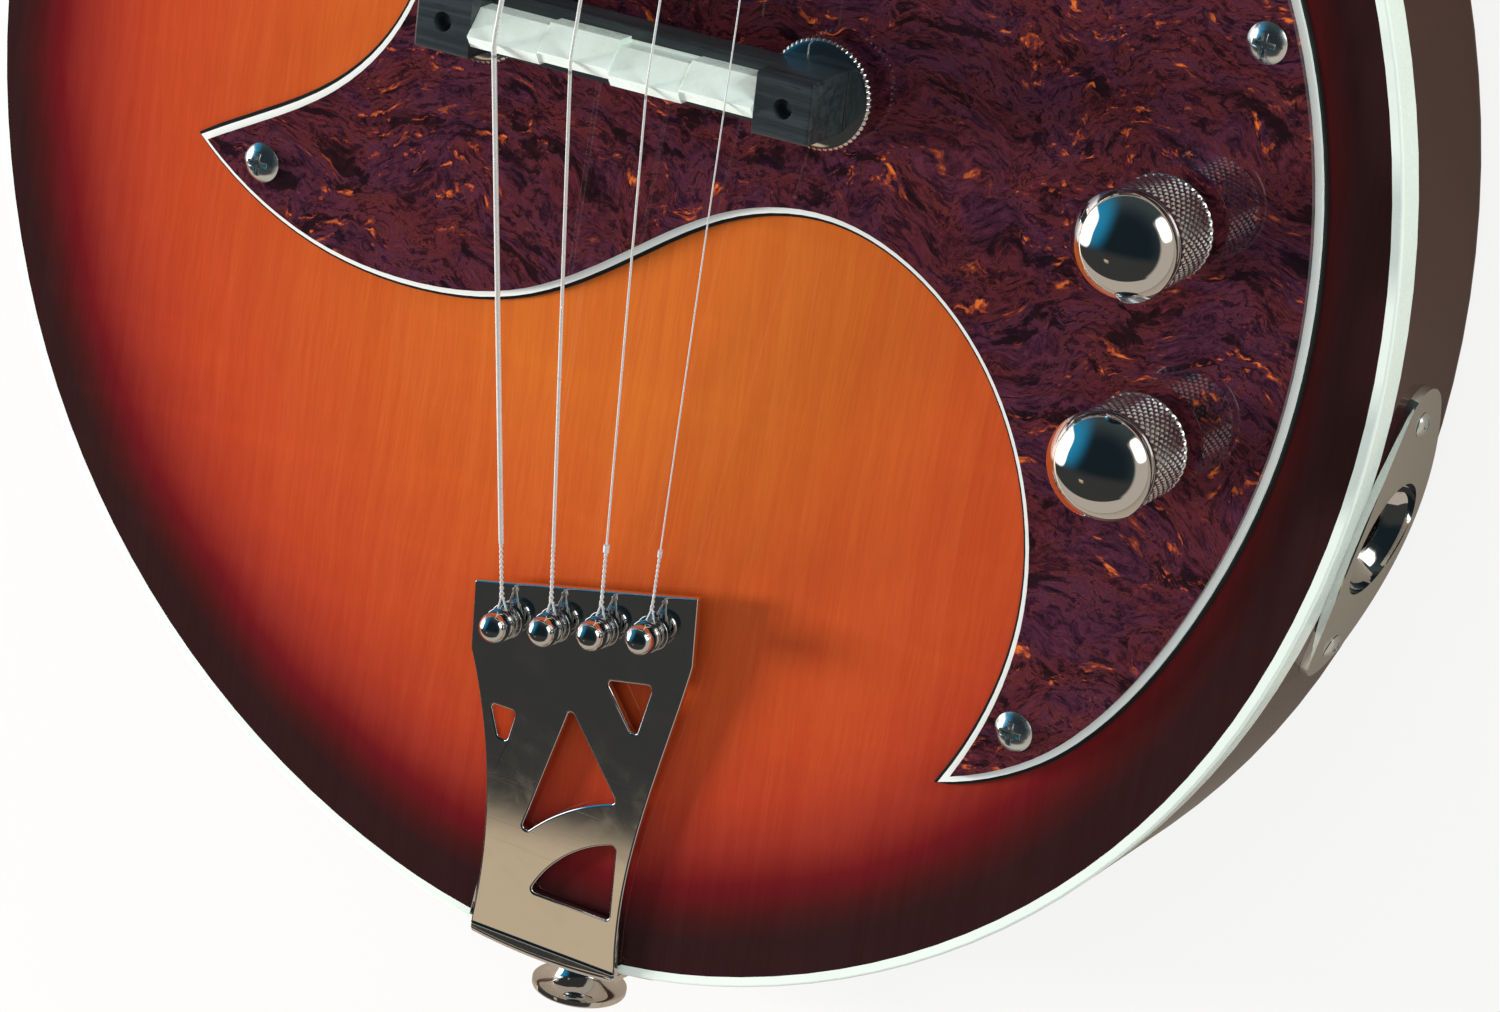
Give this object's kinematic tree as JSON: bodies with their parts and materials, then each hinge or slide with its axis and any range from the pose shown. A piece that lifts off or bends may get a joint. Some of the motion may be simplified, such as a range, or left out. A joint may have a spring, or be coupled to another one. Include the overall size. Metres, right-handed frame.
{
  "type": "electric mandolin",
  "caption": "Solid-body electric mandolin with a sunburst top, tortoiseshell guard, bolt-on neck, thumbwheel bridge, stamped tailpiece and side jack.",
  "frame": {"origin": "on the flat back, under the middle of the bridge", "axes": "+Z out of the face, +Y along the neck to the headstock, +X to the treble side"},
  "size_m": [0.255, 0.6277, 0.0559],
  "materials": {
    "sunburst_sides": "gloss",
    "sunburst_top": "gloss",
    "binding": "gloss",
    "tortoiseshell": "gloss",
    "white_ply": "satin",
    "black_ply": "satin",
    "bright_chrome": "mirror",
    "nickel": "polished",
    "steel": "satin",
    "neck_wood": "gloss",
    "fingerboard_wood": "satin",
    "ebony": "satin",
    "bone": "satin",
    "pearl": "gloss",
    "black_plastic": "satin",
    "cream_button": "gloss",
    "copper_coil": "satin",
    "magnet": "satin",
    "capacitor_film": "gloss",
    "wire_cover": "matte",
    "string_wrap": "bright",
    "string_steel": "bright"
  },
  "bodies": {
    "instrument": {"body_core": "sunburst_sides", "top_plate": "sunburst_top", "body_binding": "binding", "pickguard_top_ply": "tortoiseshell", "pickguard_white_ply": "white_ply", "pickguard_black_ply": "black_ply", "dome_head_screws": "bright_chrome", "neck": "neck_wood", "fingerboard": "fingerboard_wood", "frets": "nickel", "fret_markers": "pearl", "nut": "bone", "truss_rod": "steel", "truss_rod_cover": "black_plastic", "neck_screws": "nickel", "bridge_studs": "nickel", "tailpiece_plate": "bright_chrome", "string_pegs": "bright_chrome", "strap_buttons": "bright_chrome", "strap_screws": "bright_chrome", "jack_plate": "bright_chrome", "jack_socket": "nickel", "jack_contacts": "steel", "panel_nuts": "nickel", "volume_pot": "steel", "tone_pot": "steel", "tone_capacitor": "capacitor_film", "hookup_wires": "wire_cover", "pickup_ring": "black_plastic", "pickup_height_screws": "nickel", "tuner_housings": "bright_chrome", "tuner_ferrules": "bright_chrome", "strings_wound": "string_wrap", "strings_plain": "string_steel"},
    "bridge": {"bridge_bar": "ebony", "bridge_saddle": "bone"},
    "bass_wheel": {"bridge_wheel_bass": "bright_chrome"},
    "treble_wheel": {"bridge_wheel_treble": "bright_chrome"},
    "volume_control": {"volume_shaft": "steel", "volume_knob": "bright_chrome"},
    "tone_control": {"tone_shaft": "steel", "tone_knob": "bright_chrome"},
    "pickup": {"pickup_cover": "bright_chrome", "pickup_bobbin": "black_plastic", "pickup_coil": "copper_coil", "pickup_magnets": "magnet", "pickup_baseplate": "nickel"},
    "key_g": {"tuner_key_g": "cream_button"},
    "post_g": {"tuner_post_g": "nickel", "string_turns_g": "string_wrap"},
    "key_d": {"tuner_key_d": "cream_button"},
    "post_d": {"tuner_post_d": "nickel", "string_turns_d": "string_wrap"},
    "key_a": {"tuner_key_a": "cream_button"},
    "post_a": {"tuner_post_a": "nickel", "string_turns_a": "string_steel"},
    "key_e": {"tuner_key_e": "cream_button"},
    "post_e": {"tuner_post_e": "nickel", "string_turns_e": "string_steel"}
  },
  "joints": [
    {"name": "bridge_height", "type": "slide", "parent": "instrument", "child": "bridge", "axis": [0, 0, 1], "range_m": [-0.0015, 0.0015], "deforming": ["strings_wound", "strings_plain"]},
    {"name": "bass_wheel_turn", "type": "hinge", "parent": "bridge", "child": "bass_wheel", "pos_m": [-0.03087, -0.0026, 0.038], "axis": [0, 0, 1], "range_deg": [-675, 675]},
    {"name": "treble_wheel_turn", "type": "hinge", "parent": "bridge", "child": "treble_wheel", "pos_m": [0.02987, 0, 0.038], "axis": [0, 0, 1], "range_deg": [-675, 675]},
    {"name": "volume_turn", "type": "hinge", "parent": "instrument", "child": "volume_control", "pos_m": [0.0888, -0.0051, 0.036], "axis": [0, 0, 1], "range_deg": [-150, 150]},
    {"name": "tone_turn", "type": "hinge", "parent": "instrument", "child": "tone_control", "pos_m": [0.0909, -0.0397, 0.036], "axis": [0, 0, 1], "range_deg": [-150, 150]},
    {"name": "pickup_height", "type": "slide", "parent": "instrument", "child": "pickup", "axis": [0, 0, 1], "range_m": [-0.0015, 0.0015]},
    {"name": "key_g_turn", "type": "hinge", "parent": "instrument", "child": "key_g", "pos_m": [-0.0175, 0.39627, 0.01025], "axis": [1, 0, 0], "continuous": true},
    {"name": "post_g_turn", "type": "hinge", "parent": "instrument", "child": "post_g", "pos_m": [-0.0175, 0.39036, 0.03457], "axis": [0, 0.0349, 0.9994], "continuous": true},
    {"name": "key_d_turn", "type": "hinge", "parent": "instrument", "child": "key_d", "pos_m": [-0.0175, 0.41875, 0.00946], "axis": [1, 0, 0], "continuous": true},
    {"name": "post_d_turn", "type": "hinge", "parent": "instrument", "child": "post_d", "pos_m": [-0.0175, 0.42634, 0.03331], "axis": [0, 0.0349, 0.9994], "continuous": true},
    {"name": "key_a_turn", "type": "hinge", "parent": "instrument", "child": "key_a", "pos_m": [0.0175, 0.41875, 0.00946], "axis": [1, 0, 0], "continuous": true},
    {"name": "post_a_turn", "type": "hinge", "parent": "instrument", "child": "post_a", "pos_m": [0.0175, 0.42634, 0.03331], "axis": [0, 0.0349, 0.9994], "continuous": true},
    {"name": "key_e_turn", "type": "hinge", "parent": "instrument", "child": "key_e", "pos_m": [0.0175, 0.39627, 0.01025], "axis": [1, 0, 0], "continuous": true},
    {"name": "post_e_turn", "type": "hinge", "parent": "instrument", "child": "post_e", "pos_m": [0.0175, 0.39036, 0.03457], "axis": [0, 0.0349, 0.9994], "continuous": true}
  ],
  "couplings": [
    {"joint": "bass_wheel_turn", "follows": "bridge_height", "rad_per_m": 7854},
    {"joint": "treble_wheel_turn", "follows": "bridge_height", "rad_per_m": 7854},
    {"joint": "post_g_turn", "follows": "key_g_turn", "ratio": 0.0625},
    {"joint": "post_d_turn", "follows": "key_d_turn", "ratio": 0.0625},
    {"joint": "post_a_turn", "follows": "key_a_turn", "ratio": 0.0625},
    {"joint": "post_e_turn", "follows": "key_e_turn", "ratio": 0.0625}
  ]
}
